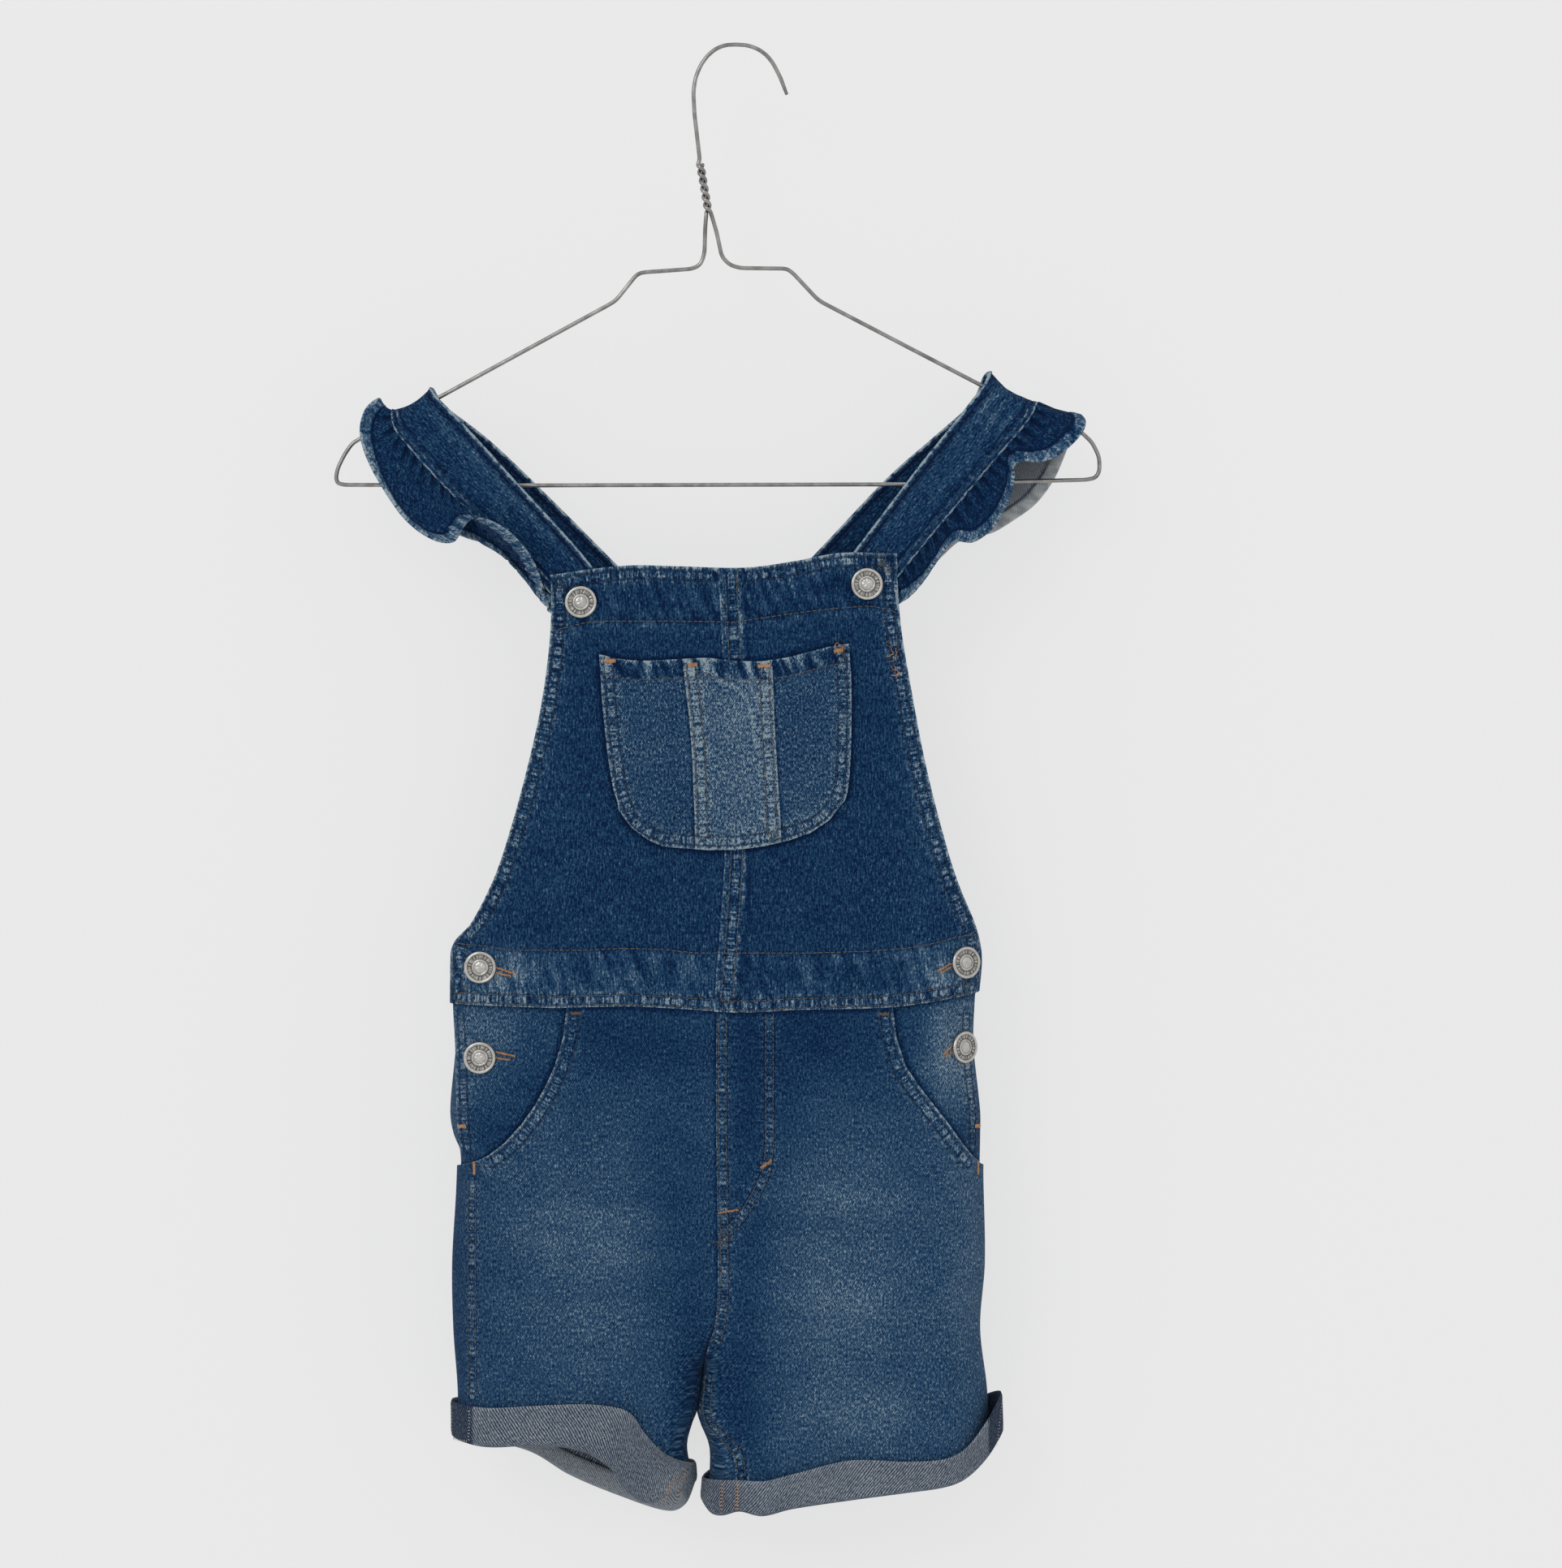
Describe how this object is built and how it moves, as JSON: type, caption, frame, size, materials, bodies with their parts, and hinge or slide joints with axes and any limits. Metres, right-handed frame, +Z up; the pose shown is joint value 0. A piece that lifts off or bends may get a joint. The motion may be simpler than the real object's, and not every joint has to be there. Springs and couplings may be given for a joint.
{
  "type": "child's denim shortalls with ruffled straps, on a wire hanger",
  "caption": "Child's denim shortalls with ruffled shoulder straps, bib pocket, side buttons and turned-up cuffs, hung on a twisted wire hanger.",
  "frame": {"origin": "underside of the hook's wire at the top of its curve, where the hanger hangs on a rail or a hook", "axes": "+Z up, against the pull of its weight; -Y the garment's front; +X to the right as seen from the front"},
  "size_m": [0.4075, 0.056, 0.7831],
  "materials": {
    "denim": "deep blue stonewashed denim",
    "worn_denim": "faded mid-blue denim",
    "cuff_denim": "pale wrong side of the denim",
    "button_metal": "satin nickel",
    "hanger_wire": "bright galvanised wire"
  },
  "bodies": {
    "root": {"bib_left": "denim", "bib_right": "denim", "back_bib": "denim", "waistband_back": "denim", "strap_left": "denim", "strap_right": "denim", "ruffle_left": "denim", "ruffle_right": "denim", "front_left": "worn_denim", "front_right": "worn_denim", "back_left": "worn_denim", "back_right": "worn_denim", "pocket_bearer_left": "worn_denim", "pocket_bearer_right": "worn_denim", "bib_pocket_left": "worn_denim", "bib_pocket_centre": "worn_denim", "bib_pocket_right": "worn_denim", "cuff_left": "cuff_denim", "cuff_right": "cuff_denim", "button_bib_left": "button_metal", "button_bib_right": "button_metal", "button_waist_left": "button_metal", "button_waist_right": "button_metal", "button_hip_left": "button_metal", "button_hip_right": "button_metal", "hanger": "hanger_wire"}
  },
  "joints": []
}
